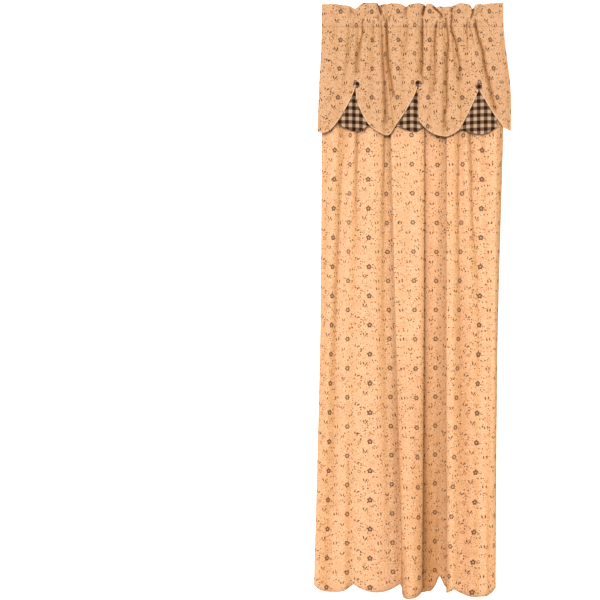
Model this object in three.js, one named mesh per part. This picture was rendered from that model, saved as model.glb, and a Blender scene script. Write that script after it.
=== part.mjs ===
// Scalloped curtain panel with a petal valance, as it hangs from the empty pocket at its top.
// Millimetres, +Z up. The pocket runs along X and the front of the cloth faces -Y.
// The origin lies on the axis of the pocket, halfway along the heading.

import * as THREE from 'three';

// Cloth
const CLOTH = 1.2;
const SEWN_GAP = 0.3;

// Heading: a gathered ruffle above a pocket for the rod
const HEADING_LEFT = -328;
const HEADING_RIGHT = 331;
const RUFFLE_TOP = 66;
const POCKET_HALF = 17;
const POCKET_RADIUS = 12;
const POCKET_RIPPLE = 1.5;
const SEAM_PLANE = -12.5;
const SEAM_DEPTH = 8;
const FRONT_BULGE = 2;
const BACK_BULGE = 1;
const LIP_BOTTOM = -19;
const LIP_HALF = 2.2;
const RUFFLE_SWING = 1.3;
const CREST_WIDTH = 11;
const HEADING_COLUMNS = 62;
const POCKET_TURNS = [-60, -30, 0, 30, 60];
const RUFFLE_SHARES = [0, 0.3, 0.65, 1];

// Hanging cloth
const CLOTH_TOP = LIP_BOTTOM - SEWN_GAP;
const SEAM_SPLIT = 1.6;
const RIDGE_PLANE = -22;
const HEM_BOTTOM = -2069;
const HEM_SCALLOPS = 6;
const FLAT_WIDTH = 984;
const SCALLOP_WIDTH = FLAT_WIDTH / HEM_SCALLOPS;
const SCALLOP_RISE = 28;
const HEM_LIFT = { at: 656, rise: 18, width: 18 };
const PANEL_COLUMNS = 108;
const GATHER_STEPS = 260;
const CURVE_STEPS = 1200;
const FOLD_STEPS = 40;

// Valance
const VALANCE_STEP = 9.5;
const LEAST_STEP = 0.4;
const STEEP_MARKS = [0.45, 0.7, 0.88, 1];
const EDGE_TURN = 7;
const EDGE_TURN_WIDTH = 14;
const EDGE_TURN_RISE = 60;
const FLARE_REACH = 120;
const GUSSET_SEAM = 5;
const GUSSET_EDGE = 2;
const GUSSET_TUCK = 4;
const TUCK_TOP = -249;
const TUCK_RISE = 140;

// Covered buttons, one at the top of each slit
const BUTTON_RADIUS = 11.3;
const BUTTON_EDGE = 2.2;
const BUTTON_CROWN = 6;
const BUTTON_TURNS = [0, 22, 45, 68];
const BUTTON_SIDES = 20;
const SEAT_SHARE = 0.4;
const PAD_INNER = 17;
const PAD_OUTER = 44;
const BUTTON_GAP = 0.5;

// Heights at which each gather of the heading and valance is stated, from the seam down
const GATHER_LEVELS = [CLOTH_TOP, -108, -252, -400];
const VALANCE_LEFT = [-328, -331, -339, -344];
const VALANCE_RIGHT = [331, 340, 354, 354];
const VALANCE_PLANE = [SEAM_PLANE - SEAM_SPLIT, -24, -34, -38];
const PANEL_BEHIND = [2 * SEAM_SPLIT, 11, 17, 18];

// Valleys between the gathers: place along X and depth at each level, half width of the trough,
// height of the ruffle over the valley, and how far the valley leans at the ruffle's top edge
const GATHERS = [
  { x: [-274, -266, -263, -263], deep: [5, 4, 3, 0], width: 14, crest: 62, lean: 20 },
  { x: [-220, -230, -248, -270], deep: [7, 8, 5, 0], width: 11, crest: 50, lean: 6 },
  { x: [-191, -198, -203, -209], deep: [8, 10, 7, 5], width: 10, crest: 62, lean: -8 },
  { x: [-147, -138, -147, -155], deep: [5, 8, 4, 2], width: 14, crest: 70, lean: -6 },
  { x: [-115, -108, -100, -99], deep: [6, 9, 10, 8], width: 9, crest: 65, lean: -11 },
  { x: [-90, -91, -79, -61], deep: [6, 10, 10, 6], width: 10, crest: 63, lean: 0 },
  { x: [-25, -26, -32, -35], deep: [5, 7, 4, 0], width: 15, crest: 60, lean: 0 },
  { x: [35, 35, 27, 24], deep: [7, 9, 8, 4], width: 14, crest: 67, lean: 7 },
  { x: [87, 78, 71, 66], deep: [6, 9, 7, 0], width: 13, crest: 53, lean: -18 },
  { x: [120, 123, 116, 116], deep: [7, 9, 8, 6], width: 10, crest: 56, lean: -5 },
  { x: [145, 156, 174, 185], deep: [7, 10, 8, 4], width: 11, crest: 59, lean: 18 },
  { x: [197, 203, 214, 224], deep: [5, 5, 2, 0], width: 14, crest: 55, lean: 14 },
  { x: [235, 255, 282, 304], deep: [6, 7, 6, 4], width: 13, crest: 62, lean: 24 },
];

// Lower edge of the valance, from left to right. Each row is the lowest point of a lobe or the
// top of a slit. Its edge runs to the corner on either side as a power curve with that bend.
const LOWER_EDGE = [
  { name: 'lobe_1', at: [-328, -409], left: [-344, -404], right: [-276, -373], bend: [1, 2] },
  { name: 'slit_1', at: [-207, -244], left: [-276, -373], right: [-160, -378], bend: [0.83, 0.48] },
  { name: 'lobe_2', at: [-90, -417], left: [-160, -378], right: [-59, -378], bend: [1.75, 1.6] },
  { name: 'slit_2', at: [21, -238], left: [-59, -378], right: [36, -382], bend: [0.8, 0.16] },
  { name: 'lobe_3', at: [122, -421], left: [36, -382], right: [170, -394], bend: [2.5, 1.5] },
  { name: 'slit_3', at: [238, -247], left: [170, -394], right: [328, -391], bend: [0.87, 0.85] },
  { name: 'lobe_4', at: [354, -400], left: [328, -391], right: [354, -400], bend: [1.4, 1] },
];

// Check gussets set in behind the slits: lowest point, right corner, the pleat down the middle, and
// how far behind the valance's cloth the gusset lies
const GUSSETS = [
  { name: 'gusset_1', slit: 'slit_1', low: [-205, -402], right: [-155, -378], pleat: -200, gap: 0.7 },
  { name: 'gusset_2', slit: 'slit_2', low: [9, -404], right: [41, -382], pleat: -4, gap: 1.75 },
  { name: 'gusset_3', slit: 'slit_3', low: [245, -414], right: [304, -387], pleat: 250, gap: 0.55 },
];
const GUSSET_BEND = 1.45;
const PLEAT_WIDTH = 16;

const BUTTONS = [
  { name: 'button_1', at: [-204, -234] },
  { name: 'button_2', at: [20, -230] },
  { name: 'button_3', at: [237, -240] },
];

// Heights at which each fold of the panel is stated: below the valance, halfway, at the hem
const FOLD_LEVELS = [-431, -1155, HEM_BOTTOM];

// Folds of the panel from left to right: place along X, depth behind the front ridges, and how far
// across the flat cloth they lie
const FOLDS = [
  { name: 'left_edge', x: [-328, -334, -357], deep: [20, 22, 18], flat: [0, 0, 0] },
  { name: 'ridge_1', x: [-299, -308, -335], deep: [0, 0, -4], flat: [38, 38, 32] },
  { name: 'valley_1', x: [-243, -276, -292], deep: [22, 16, 8], flat: [108, 82, 79] },
  { name: 'ridge_2', x: [-224, -246, -252], deep: [2, 0, -6], flat: [141, 126, 124] },
  { name: 'valley_2', x: [-199, -207, -216], deep: [16, 6, 7], flat: [175, 169, 162] },
  { name: 'ridge_3', x: [-152, -160, -143], deep: [0, 0, 0], flat: [232, 216, 232] },
  { name: 'shoulder', x: [-110, -122, -96], deep: [6, 1, 4], flat: [281, 257, 277] },
  { name: 'band', x: [-94, -96, -67], deep: [24, 16, 10], flat: [309, 290, 306] },
  { name: 'tuck', x: [-50, -30, -42], deep: [28, 24, 6], flat: [355, 358, 332] },
  { name: 'ridge_5', x: [-78, -60, -39], deep: [6, -6, -58], flat: [392, 400, 397] },
  { name: 'valley_5', x: [-24, -12, -19], deep: [6, -6, -84], flat: [448, 448, 430] },
  { name: 'ridge_6', x: [-4, 7, 7], deep: [0, -12, -78], flat: [469, 468, 457] },
  { name: 'ridge_7', x: [27, 27, 21], deep: [0, -12, -66], flat: [501, 489, 476] },
  { name: 'lip_left', x: [45, 41, 27], deep: [8, -2, -52], flat: [521, 507, 492] },
  { name: 'back_left', x: [14, 6, 2], deep: [13, 10, -16], flat: [552, 547, 537] },
  { name: 'floor_left', x: [42, 36, 44], deep: [20, 20, 6], flat: [582, 581, 587] },
  { name: 'floor_middle', x: [85, 87, 84], deep: [20, 26, 30], flat: [625, 634, 634] },
  { name: 'floor_right', x: [134, 136, 122], deep: [26, 30, 26], flat: [675, 684, 681] },
  { name: 'back_right', x: [154, 156, 146], deep: [18, 16, -6], flat: [697, 709, 731] },
  { name: 'lip_right', x: [124, 121, 117], deep: [6, -4, -34], flat: [731, 750, 780] },
  { name: 'ridge_8', x: [146, 142, 129], deep: [0, -12, -56], flat: [755, 773, 809] },
  { name: 'valley_6', x: [174, 178, 165], deep: [12, 2, -48], flat: [786, 813, 844] },
  { name: 'ridge_9', x: [194, 208, 205], deep: [2, -10, -58], flat: [810, 848, 882] },
  { name: 'valley_7', x: [216, 243, 235], deep: [14, -3, -50], flat: [838, 886, 908] },
  { name: 'ridge_10', x: [240, 262, 255], deep: [2, -8, -56], flat: [868, 905, 925] },
  { name: 'valley_8', x: [268, 281, 266], deep: [8, -4, -48], flat: [897, 924, 937] },
  { name: 'ridge_11', x: [302, 297, 279], deep: [0, -4, -40], flat: [931, 939, 949] },
  { name: 'right_edge', x: [333, 312, 294], deep: [26, 18, -14], flat: [984, 984, 984] },
];

const PANEL_ROWS = [
  CLOTH_TOP, -55, -105, -165, -240, -330, -431, -560, -720, -900, -1080, -1260, -1440, -1620,
  -1780, -1930, HEM_BOTTOM,
];
const VALANCE_ROWS = [CLOTH_TOP, -52, -90, -130, -170, -200, -220, -235];
const SLIT_ROWS = [0.25, 0.5, 0.75, 1];
const GUSSET_ROWS = [0, 0.25, 0.5, 0.75, 1];

const calico = new THREE.MeshStandardMaterial({ color: 0xd9ad7c, roughness: 0.92, metalness: 0 });
const calicoShade = new THREE.MeshStandardMaterial({ color: 0xcfa476, roughness: 0.92, metalness: 0 });
const check = new THREE.MeshStandardMaterial({ color: 0x5d5042, roughness: 0.9, metalness: 0 });

function ease(t) {
  const s = Math.min(1, Math.max(0, t));
  return s * s * (3 - 2 * s);
}

// Value at height z of a column stated at the given levels, on a smooth curve through them
function glide(levels, values, z) {
  const last = levels.length - 1;
  if (z >= levels[0]) {
    return values[0];
  }
  if (z <= levels[last]) {
    return values[last];
  }
  let i = 0;
  while (z < levels[i + 1]) {
    i += 1;
  }
  const slopeAt = (k) => {
    const before = Math.max(0, k - 1);
    const after = Math.min(last, k + 1);
    return (values[after] - values[before]) / (levels[after] - levels[before]);
  };
  const span = levels[i + 1] - levels[i];
  const t = (z - levels[i]) / span;
  const bend = t * (1 - t);
  const line = values[i] + (values[i + 1] - values[i]) * t;
  const chord = (values[i + 1] - values[i]) / span;
  return line + span * bend * ((1 - t) * (slopeAt(i) - chord) - t * (slopeAt(i + 1) - chord));
}

function trough(distance, width) {
  return Math.exp(-((distance / width) ** 2));
}

// Depth of the gathers behind their ridges, at a place on the heading's seam or the valance
function gatherDepth(x, z) {
  let depth = 0;
  for (const gather of GATHERS) {
    const centre = glide(GATHER_LEVELS, gather.x, z);
    depth += glide(GATHER_LEVELS, gather.deep, z) * trough(x - centre, gather.width);
  }
  return depth;
}

// The valance: front cloth as a height over X and Z

function valanceSides(z) {
  return [glide(GATHER_LEVELS, VALANCE_LEFT, z), glide(GATHER_LEVELS, VALANCE_RIGHT, z)];
}

function hangingFront(x, z) {
  const [left, right] = valanceSides(z);
  const turned = trough(x - left, EDGE_TURN_WIDTH) + trough(x - right, EDGE_TURN_WIDTH);
  const turn = EDGE_TURN * turned * ease((CLOTH_TOP - z) / EDGE_TURN_RISE);
  return glide(GATHER_LEVELS, VALANCE_PLANE, z) + gatherDepth(x, z) + turn;
}

// Each button holds the cloth flat around it
function valanceFront(x, z) {
  let y = hangingFront(x, z);
  for (const button of BUTTONS) {
    const [bx, bz] = button.at;
    const away = Math.hypot(x - bx, z - bz);
    const hold = ease((PAD_OUTER - away) / (PAD_OUTER - PAD_INNER));
    y += (buttonSeat(button) - y) * hold;
  }
  return y;
}

function buttonSeat(button) {
  const [bx, bz] = button.at;
  return glide(GATHER_LEVELS, VALANCE_PLANE, bz) + SEAT_SHARE * gatherDepth(bx, bz);
}

function slopeOf(height, x, z) {
  const step = 0.5;
  return (height(x + step, z) - height(x - step, z)) / (2 * step);
}

function cornerCurve(from, to, bend, x) {
  const span = to[0] - from[0];
  const s = span === 0 ? 0 : Math.min(1, Math.max(0, (x - from[0]) / span));
  return from[1] + (to[1] - from[1]) * s ** bend;
}

function lowerEdge(x) {
  const row = LOWER_EDGE.find((r) => x <= r.right[0]) ?? LOWER_EDGE[LOWER_EDGE.length - 1];
  const onLeft = x < row.at[0];
  const corner = onLeft ? row.left : row.right;
  return cornerCurve(row.at, corner, row.bend[onLeft ? 0 : 1], x);
}

// Columns of the valance: evenly spaced, with more where the slits' edges are steep
function valanceColumns() {
  const left = VALANCE_LEFT[VALANCE_LEFT.length - 1];
  const right = VALANCE_RIGHT[VALANCE_RIGHT.length - 1];
  const marks = [left, right];
  for (const row of LOWER_EDGE.filter((r) => r.name.startsWith('slit'))) {
    marks.push(row.at[0]);
    for (const [side, corner] of [row.left, row.right].entries()) {
      for (const t of STEEP_MARKS) {
        marks.push(row.at[0] + (corner[0] - row.at[0]) * t ** (1 / row.bend[side]));
      }
    }
  }
  for (let x = left + VALANCE_STEP; x < right - VALANCE_STEP / 2; x += VALANCE_STEP) {
    if (marks.every((m) => Math.abs(m - x) > VALANCE_STEP * LEAST_STEP)) {
      marks.push(x);
    }
  }
  marks.sort((a, b) => a - b);
  return marks.filter((m, i) => i === 0 || m - marks[i - 1] > LEAST_STEP);
}

// The valance narrows towards the seam, and its outer columns lean with its sides
function flared(x, z) {
  const [left, right] = valanceSides(z);
  const [footLeft, footRight] = valanceSides(GATHER_LEVELS[GATHER_LEVELS.length - 1]);
  const nearLeft = Math.max(0, 1 - (x - footLeft) / FLARE_REACH);
  const nearRight = Math.max(0, 1 - (footRight - x) / FLARE_REACH);
  return x + (left - footLeft) * nearLeft + (right - footRight) * nearRight;
}

// Points on the two faces of a cloth whose middle is a height over X and Z
function facePoints(height, x, z) {
  const slope = slopeOf(height, x, z);
  const reach = CLOTH / 2 / Math.hypot(1, slope);
  const y = height(x, z);
  return {
    front: new THREE.Vector3(x + slope * reach, y - reach, z),
    back: new THREE.Vector3(x - slope * reach, y + reach, z),
  };
}

function geometryOf(points, faces) {
  const geometry = new THREE.BufferGeometry();
  const numbers = points.flatMap((p) => [p.x, p.y, p.z]);
  geometry.setAttribute('position', new THREE.Float32BufferAttribute(numbers, 3));
  geometry.setIndex(faces.flat());
  geometry.computeVertexNormals();
  return geometry;
}

// Closed sheet from rows of front and back points, rows from the top down, columns along +X
function sheetGeometry(rows) {
  const columns = rows[0].length;
  const count = rows.length * columns;
  const points = [
    ...rows.flat().map((p) => p.front),
    ...rows.flat().map((p) => p.back),
  ];
  const faces = [];
  const quad = (a, b, c, d) => faces.push([a, b, c], [a, c, d]);
  for (let r = 0; r + 1 < rows.length; r += 1) {
    for (let c = 0; c + 1 < columns; c += 1) {
      const a = r * columns + c;
      const b = a + columns;
      quad(a, b, b + 1, a + 1);
      quad(count + a, count + a + 1, count + b + 1, count + b);
    }
    const left = r * columns;
    const right = left + columns - 1;
    quad(left, count + left, count + left + columns, left + columns);
    quad(right, right + columns, count + right + columns, count + right);
  }
  const foot = (rows.length - 1) * columns;
  for (let c = 0; c + 1 < columns; c += 1) {
    quad(c, c + 1, count + c + 1, count + c);
    quad(foot + c, count + foot + c, count + foot + c + 1, foot + c + 1);
  }
  return geometryOf(points, faces);
}

// Level rows down to the slits, and below them rows that share out what hangs there
function makeValance() {
  const columns = valanceColumns();
  const slitTop = VALANCE_ROWS[VALANCE_ROWS.length - 1];
  const heights = [
    ...VALANCE_ROWS.map((level) => () => level),
    ...SLIT_ROWS.map((share) => (column) => slitTop + (lowerEdge(column) - slitTop) * share),
  ];
  const rows = heights.map((heightAt) => columns.map((column) => {
    const z = heightAt(column);
    return facePoints(valanceFront, flared(column, z), z);
  }));
  return sheetGeometry(rows);
}

// Behind a slit: the valance's own surface set back, with a pleat down the middle
function gussetHeight(gusset) {
  return (x, z) => {
    const drop = ease((TUCK_TOP - z) / TUCK_RISE);
    const tuck = GUSSET_TUCK * drop * trough(x - gusset.pleat, PLEAT_WIDTH);
    const slope = slopeOf(valanceFront, x, z);
    return valanceFront(x, z) + (CLOTH + gusset.gap) * Math.hypot(1, slope) + tuck;
  };
}

function makeGusset(gusset) {
  const slit = LOWER_EDGE.find((row) => row.name === gusset.slit);
  const height = gussetHeight(gusset);
  const left = slit.left[0] - GUSSET_SEAM;
  const right = gusset.right[0];
  const inside = valanceColumns().filter((x) => x > left + GUSSET_EDGE && x < right - GUSSET_EDGE);
  const columns = [left, ...inside, right];
  const rows = GUSSET_ROWS.map((share) => columns.map((x) => {
    const side = x < gusset.low[0] ? slit.left : gusset.right;
    const bottom = cornerCurve(gusset.low, side, GUSSET_BEND, x);
    const edgeSide = x < slit.at[0] ? 0 : 1;
    const edge = cornerCurve(slit.at, edgeSide ? slit.right : slit.left, slit.bend[edgeSide], x);
    const top = Math.max(edge, bottom) + GUSSET_SEAM;
    return facePoints(height, x, top + (bottom - top) * share);
  }));
  return sheetGeometry(rows);
}

// The panel: each level is a section in plan, and its threads come down through the sections

// Under the valance the folds start as the gathers of the seam, set behind the valance
function gatheredSection(z) {
  const [left, right] = valanceSides(z);
  const behind = glide(GATHER_LEVELS, PANEL_BEHIND, z);
  const points = [];
  for (let i = 0; i <= GATHER_STEPS; i += 1) {
    const x = left + ((right - left) * i) / GATHER_STEPS;
    points.push(new THREE.Vector3(x, hangingFront(x, z) + behind, z));
  }
  const curve = sectionCurve(points, CURVE_STEPS);
  return curve.getSpacedPoints(PANEL_COLUMNS);
}

function foldedSection(z) {
  const points = FOLDS.map((fold) => {
    const x = glide(FOLD_LEVELS, fold.x, z);
    return new THREE.Vector3(x, RIDGE_PLANE + glide(FOLD_LEVELS, fold.deep, z), z);
  });
  const curve = sectionCurve(points, FOLD_STEPS * (FOLDS.length - 1));
  const lengths = curve.getLengths();
  const total = lengths[lengths.length - 1];
  const flat = FOLDS.map((fold) => glide(FOLD_LEVELS, fold.flat, z));
  const section = [];
  let i = 0;
  for (let c = 0; c <= PANEL_COLUMNS; c += 1) {
    const place = (FLAT_WIDTH * c) / PANEL_COLUMNS;
    while (i < flat.length - 2 && flat[i + 1] < place) {
      i += 1;
    }
    const share = (place - flat[i]) / (flat[i + 1] - flat[i]);
    const from = lengths[i * FOLD_STEPS];
    const to = lengths[(i + 1) * FOLD_STEPS];
    section.push(curve.getPointAt(Math.min(1, (from + (to - from) * share) / total)));
  }
  return section;
}

function sectionCurve(points, divisions) {
  const curve = new THREE.CatmullRomCurve3(points, false, 'centripetal');
  curve.arcLengthDivisions = divisions;
  return curve;
}

// Rise of the hem above its lowest line: six arcs between cusps, one of them drawn up further
function hemRise(share) {
  const half = SCALLOP_WIDTH / 2;
  const radius = (half * half + SCALLOP_RISE * SCALLOP_RISE) / (2 * SCALLOP_RISE);
  const across = ((share * HEM_SCALLOPS) % 1) * 2 - 1;
  const arc = radius - Math.sqrt(radius * radius - (across * half) ** 2);
  return arc + HEM_LIFT.rise * trough(share * FLAT_WIDTH - HEM_LIFT.at, HEM_LIFT.width);
}

function makePanel() {
  const blendTop = GATHER_LEVELS[0];
  const blendFoot = FOLD_LEVELS[0];
  const rows = PANEL_ROWS.map((level) => {
    const folded = foldedSection(level);
    const gathered = gatheredSection(level);
    const drop = (CLOTH_TOP - level) / (CLOTH_TOP - HEM_BOTTOM);
    const blend = ease((blendTop - level) / (blendTop - blendFoot));
    const line = folded.map((point, c) => {
      const p = gathered[c].clone().lerp(point, blend);
      p.z = level + drop * hemRise(c / PANEL_COLUMNS);
      return p;
    });
    return line.map((p, c) => {
      const before = line[Math.max(0, c - 1)];
      const after = line[Math.min(PANEL_COLUMNS, c + 1)];
      const back = new THREE.Vector3(before.y - after.y, after.x - before.x, 0);
      back.setLength(CLOTH / 2);
      return { front: p.clone().sub(back), back: p.clone().add(back) };
    });
  });
  return sheetGeometry(rows);
}

// The heading: one section of ruffle and pocket, swept through the gathers

function ruffleTop(x) {
  let top = RUFFLE_TOP;
  for (const gather of GATHERS) {
    const place = gather.x[0] + gather.lean;
    top += (gather.crest - RUFFLE_TOP) * trough(x - place, CREST_WIDTH);
  }
  return top;
}

function ruffleDepth(x, share) {
  let depth = 0;
  for (const gather of GATHERS) {
    const centre = gather.x[0] + gather.lean * share;
    depth += gather.deep[0] * trough(x - centre, gather.width);
  }
  return depth * (1 + (RUFFLE_SWING - 1) * share);
}

function headingSection(x) {
  const gathered = Math.min(1, gatherDepth(x, CLOTH_TOP) / SEAM_DEPTH);
  const seam = SEAM_PLANE + gatherDepth(x, CLOTH_TOP);
  const frontWall = -(POCKET_RADIUS + CLOTH + POCKET_RIPPLE * (1 - gathered));
  const backWall = POCKET_RADIUS + CLOTH + POCKET_RIPPLE * gathered;
  const turns = POCKET_TURNS.map((deg) => THREE.MathUtils.degToRad(deg));
  const wall = (reach, half, offset, bulge) => turns.map((turn) => new THREE.Vector2(
    seam + offset + (reach - seam - offset) * Math.cos(turn) ** bulge,
    half * Math.sin(turn),
  ));
  const ruffleRise = ruffleTop(x) - POCKET_HALF;
  const ruffle = (side) => RUFFLE_SHARES.map((share) => new THREE.Vector2(
    SEAM_PLANE + ruffleDepth(x, share) + side * CLOTH,
    POCKET_HALF + ruffleRise * share,
  ));
  const lip = (side) => [
    new THREE.Vector2(seam + side * LIP_HALF, LIP_BOTTOM),
    new THREE.Vector2(seam + side * LIP_HALF, -POCKET_HALF),
  ];
  const outer = [
    ...lip(-1),
    ...wall(frontWall, POCKET_HALF, -CLOTH, FRONT_BULGE),
    ...ruffle(-1),
    ...ruffle(1).reverse(),
    ...wall(backWall, POCKET_HALF, CLOTH, BACK_BULGE).reverse(),
    ...lip(1).reverse(),
  ];
  const innerHalf = POCKET_HALF - CLOTH;
  const inner = [
    new THREE.Vector2(seam, -innerHalf),
    ...wall(frontWall + CLOTH, innerHalf, 0, FRONT_BULGE),
    new THREE.Vector2(seam, innerHalf),
    ...wall(backWall - CLOTH, innerHalf, 0, BACK_BULGE).reverse(),
  ];
  return { outer, inner };
}

function makeHeading() {
  const points = [];
  const faces = [];
  const sections = [];
  for (let c = 0; c <= HEADING_COLUMNS; c += 1) {
    const x = HEADING_LEFT + ((HEADING_RIGHT - HEADING_LEFT) * c) / HEADING_COLUMNS;
    const section = headingSection(x);
    sections.push(section);
    for (const p of [...section.outer, ...section.inner]) {
      points.push(new THREE.Vector3(x, p.x, p.y));
    }
  }
  const outerCount = sections[0].outer.length;
  const innerCount = sections[0].inner.length;
  const ring = outerCount + innerCount;
  const band = (start, count, c, outward) => {
    for (let i = 0; i < count; i += 1) {
      const a = c * ring + start + i;
      const b = c * ring + start + ((i + 1) % count);
      const corners = outward ? [a, a + ring, b + ring, b] : [a, b, b + ring, a + ring];
      faces.push([corners[0], corners[1], corners[2]], [corners[0], corners[2], corners[3]]);
    }
  };
  for (let c = 0; c < HEADING_COLUMNS; c += 1) {
    band(0, outerCount, c, true);
    band(outerCount, innerCount, c, false);
  }
  for (const [c, outward] of [[0, true], [HEADING_COLUMNS, false]]) {
    const { outer, inner } = sections[c];
    const flat = [...outer, ...inner];
    for (const [a, b, d] of THREE.ShapeUtils.triangulateShape(outer, [inner])) {
      const area = THREE.ShapeUtils.area([flat[a], flat[b], flat[d]]);
      const clockwise = area < 0;
      const face = [a, b, d].map((i) => c * ring + i);
      faces.push(clockwise === outward ? face : face.reverse());
    }
  }
  return geometryOf(points, faces);
}

// A button's face is a shallow dome over a straight edge
function makeButtonShape() {
  const profile = [new THREE.Vector2(0, 0), new THREE.Vector2(BUTTON_RADIUS, 0)];
  for (const turn of BUTTON_TURNS.map((deg) => THREE.MathUtils.degToRad(deg))) {
    const rise = (BUTTON_CROWN - BUTTON_EDGE) * Math.sin(turn);
    profile.push(new THREE.Vector2(BUTTON_RADIUS * Math.cos(turn), BUTTON_EDGE + rise));
  }
  profile.push(new THREE.Vector2(0, BUTTON_CROWN));
  return new THREE.LatheGeometry(profile, BUTTON_SIDES).rotateX(Math.PI);
}

const curtain = new THREE.Group();

function addPiece(name, geometry, material) {
  const mesh = new THREE.Mesh(geometry, material);
  mesh.name = name;
  curtain.add(mesh);
  return mesh;
}

addPiece('heading', makeHeading(), calicoShade);
addPiece('panel', makePanel(), calico);
addPiece('valance', makeValance(), calicoShade);
for (const gusset of GUSSETS) {
  addPiece(gusset.name, makeGusset(gusset), check);
}
for (const button of BUTTONS) {
  const [x, z] = button.at;
  const mesh = addPiece(button.name, makeButtonShape(), check);
  mesh.position.set(x, buttonSeat(button) - CLOTH / 2 - BUTTON_GAP, z);
}

export default curtain;
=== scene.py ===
import math

import bpy
import numpy as np
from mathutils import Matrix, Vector
from mathutils.geometry import tessellate_polygon


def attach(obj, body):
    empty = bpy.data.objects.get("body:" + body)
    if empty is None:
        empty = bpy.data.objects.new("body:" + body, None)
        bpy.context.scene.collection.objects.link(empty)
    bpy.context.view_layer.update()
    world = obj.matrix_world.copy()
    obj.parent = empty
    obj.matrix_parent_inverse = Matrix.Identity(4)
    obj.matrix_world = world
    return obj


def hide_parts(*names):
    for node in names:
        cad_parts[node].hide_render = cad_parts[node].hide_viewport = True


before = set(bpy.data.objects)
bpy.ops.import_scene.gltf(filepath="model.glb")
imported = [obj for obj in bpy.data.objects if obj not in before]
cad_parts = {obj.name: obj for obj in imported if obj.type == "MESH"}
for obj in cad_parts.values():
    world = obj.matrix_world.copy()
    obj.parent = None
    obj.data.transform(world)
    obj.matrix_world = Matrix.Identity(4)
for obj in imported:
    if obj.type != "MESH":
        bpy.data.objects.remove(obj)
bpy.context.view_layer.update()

# Scalloped curtain panel with a petal valance, hung from an empty pocket, in metres.
# X runs along the pocket, the front of the cloth faces -Y, and +Z is up.
# The longest tables are in millimetres or tenths of them: table() turns their numbers into metres.
MM = 1000.0
TENTHS = 10000.0


def table(columns, rows, unit=1.0):
    """Rows as dicts with named columns, their numbers divided by the unit."""
    def scaled(value):
        if isinstance(value, tuple):
            return tuple(scaled(part) for part in value)
        return value if isinstance(value, str) else value / unit
    return [dict(zip(columns.split(), scaled(row))) for row in rows]


# Cloth
CLOTH = 0.0012
SEWN_GAP = 0.0003
FLAT_WIDTH = 0.984

# Heading: a gathered ruffle above a pocket for the rod
HEADING_LEFT = -0.328
HEADING_RIGHT = 0.331
POCKET_HALF = 0.017
POCKET_RADIUS = 0.012
POCKET_RIPPLE = 0.0015
POCKET_TURN = 80
POCKET_ROWS = 17
SEAM_PLANE = -0.0125
SEAM_DEPTH = 0.008
LIP_BOTTOM = -0.019
LIP_HALF = 0.0022
RUFFLE_SWING = 1.3
RUFFLE_ROWS = 16
BACK_CREASES = 0.6
HELD_CREASES = 0.75
HELD_RISE = 0.004

# Hanging cloth
CLOTH_TOP = LIP_BOTTOM - SEWN_GAP
SEAM_SPLIT = 0.0016
SEAM_CLEAR = 0.0021
RIDGE_PLANE = -0.022
HEM_BOTTOM = -2.069
HEM_SCALLOPS = 6
SCALLOP_WIDTH = 0.164
SCALLOP_RISE = 0.028
WRINKLE_DEPTH = 0.0009
WRINKLE_WAVE = 0.047
WRINKLE_DRIFT = 0.6
WRINKLE_PHASE = 1.3

# Valance and gussets
# Half width of the painted highlight along the valance's lower edges
RIM_WIDTH = 0.0028
TOP_GAP = 0.00001
SLIT_LEVEL = -0.226
EDGE_TURN = 0.007
EDGE_TURN_WIDTH = 0.014
EDGE_TURN_RISE = 0.060
FLARE_REACH = 0.120
PUCKER_DEPTH = 0.0023
PUCKER_WAVE = 0.0135
PUCKER_PHASE = 0.8
PUCKER_FADE = 0.026
GUSSET_SEAM = 0.005
GUSSET_GAP = 0.0022
GUSSET_TUCK = 0.004
TUCK_TOP = -0.249
TUCK_RISE = 0.140
GUSSET_BEND = 1.45
PLEAT_WIDTH = 0.016

# Covered buttons
BUTTON_RADIUS = 0.0113
BUTTON_EDGE = 0.0022
BUTTON_CROWN = 0.006
BUTTON_SIDES = 48
BUTTON_RINGS = 14
COVER_TUCKS = 9
COVER_TUCK = 0.012
COVER_STRETCH = 1.1
SEAT_SHARE = 0.4
PAD_INNER = 0.017
PAD_OUTER = 0.044

# Fineness of the meshes, and of the curves that they are taken from
PANEL_COLUMNS = 400
PANEL_ROWS = 108
ROW_SPREAD = 1.12
VALANCE_COLUMNS = 640
VALANCE_ROWS = 66
LEVEL_ROWS = 40
EDGE_MARKS = 14
MARKS_FROM = 0.08
MARK_CLEAR = 0.3
MARK_LEAST = 0.00002
HEADING_COLUMNS = 640
GUSSET_COLUMNS = 72
GUSSET_ROWS = 48
GATHER_SAMPLES = 2400
CURVE_STEPS = 24
SLOPE_STEP = 0.0004

# How creases fade out at both ends and widen downwards, and how strong their painted shade and painted dark
# line are
FADE_IN = 0.008
FADE_OUT = 0.030
FADE_SHARE = 0.4
CREASE_SPREAD = 0.6
FOLD_FULL = 0.0065
FOLD_POWER = 1.3
LINE_WIDTH = 0.0016
LINE_FULL = 0.0075
PANEL_FOLD_SHARE = 0.6

# Uneven ripples: how far and how fast the waves drift, and the length of the second and third
DRIFT = 0.35
DRIFT_RATE = 21.0
RIPPLE_SECOND = 0.63
RIPPLE_THIRD = 1.71

# Heights at which each gather of the heading and valance is stated, from the seam down
GATHER_LEVELS = (CLOTH_TOP, -0.108, -0.252, -0.400)
VALANCE_LEFT = (-0.328, -0.331, -0.339, -0.344)
VALANCE_RIGHT = (0.331, 0.340, 0.354, 0.354)
VALANCE_PLANE = (SEAM_PLANE - SEAM_SPLIT, -0.024, -0.034, -0.038)
PANEL_BEHIND = (2 * SEAM_SPLIT, 0.011, 0.017, 0.018)

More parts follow.
